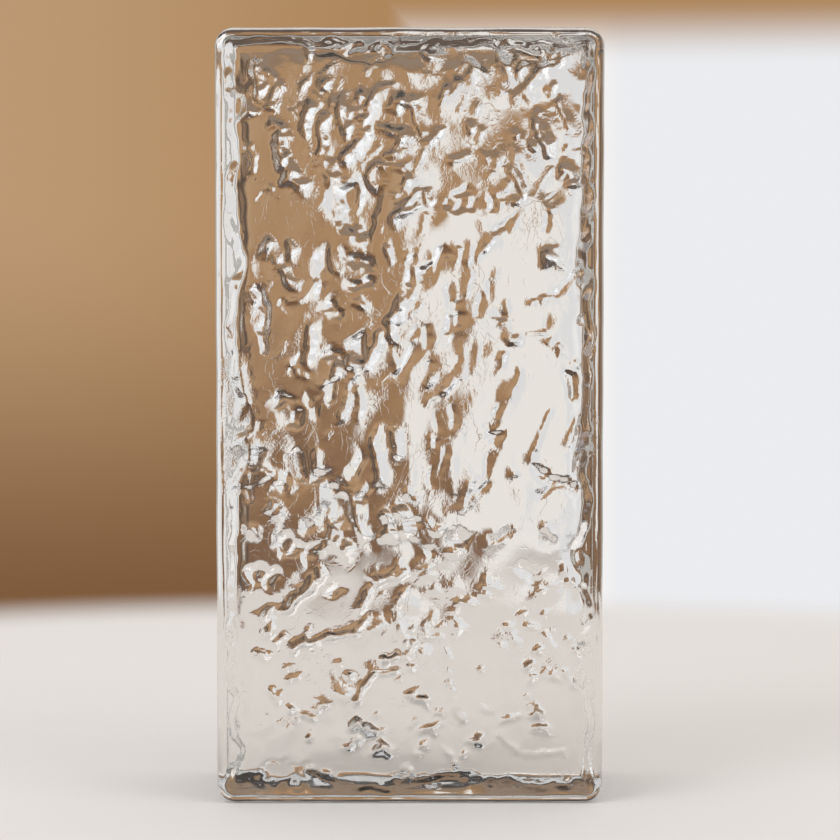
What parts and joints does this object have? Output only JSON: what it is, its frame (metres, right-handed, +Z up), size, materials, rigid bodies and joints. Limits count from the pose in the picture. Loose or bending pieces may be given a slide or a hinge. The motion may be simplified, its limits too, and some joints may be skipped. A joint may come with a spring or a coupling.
{
  "type": "solid glass block",
  "caption": "Solid cast clear glass block, standing on end, with a folded ice relief on its large faces, smooth flat narrow faces and rounded edges.",
  "frame": {"origin": "middle of the base that the block stands on", "axes": "+Z up along the block's length, +X across its large faces, +Y from the front relief face to the back relief face"},
  "size_m": [0.1, 0.05, 0.2],
  "materials": {
    "glass": "gloss"
  },
  "bodies": {
    "root": {"glass_block": "glass"}
  },
  "joints": []
}
